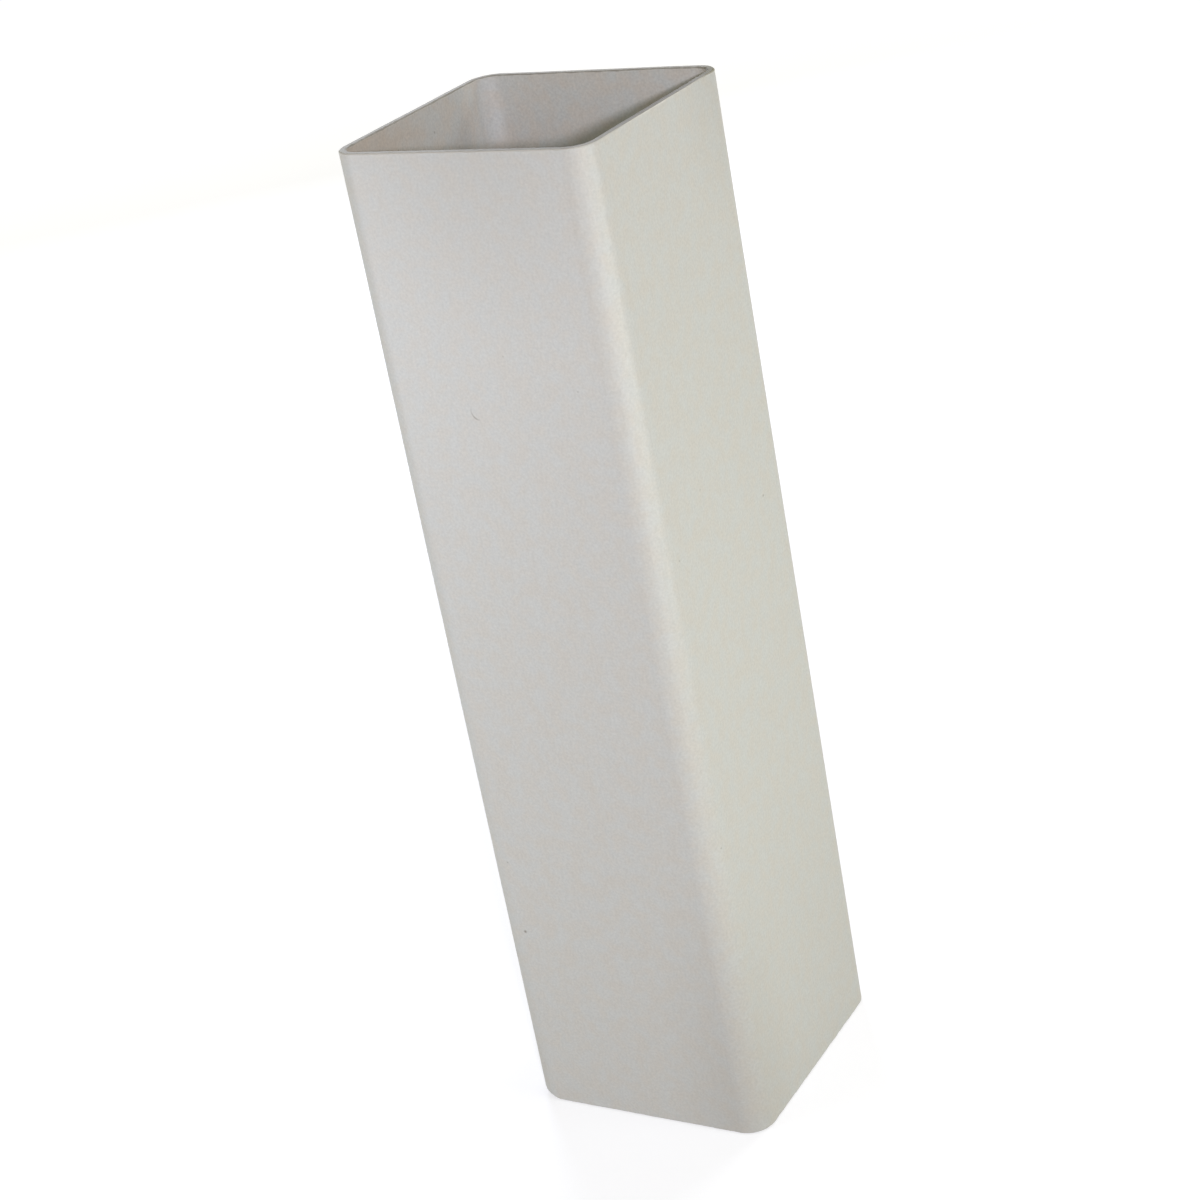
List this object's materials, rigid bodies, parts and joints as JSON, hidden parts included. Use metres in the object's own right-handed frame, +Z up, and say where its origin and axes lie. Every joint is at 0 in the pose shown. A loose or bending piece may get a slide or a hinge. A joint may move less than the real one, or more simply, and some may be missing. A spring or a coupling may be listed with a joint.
{
  "type": "square downpipe",
  "caption": "Short length of plain square rainwater downpipe with rounded corners, a thin even wall and open sawn ends, for leading roof water down a wall.",
  "frame": {"origin": "middle of the lower sawn end, on the surface that the pipe stands on", "axes": "+Z up along the pipe, as it hangs on a wall; X and Y square to its flat sides, with +Y towards the wall"},
  "size_m": [0.065, 0.065, 0.25],
  "materials": {
    "upvc": "off-white extruded uPVC, satin, with faint die lines along the pipe"
  },
  "bodies": {
    "root": {"downpipe": "upvc"}
  },
  "joints": []
}
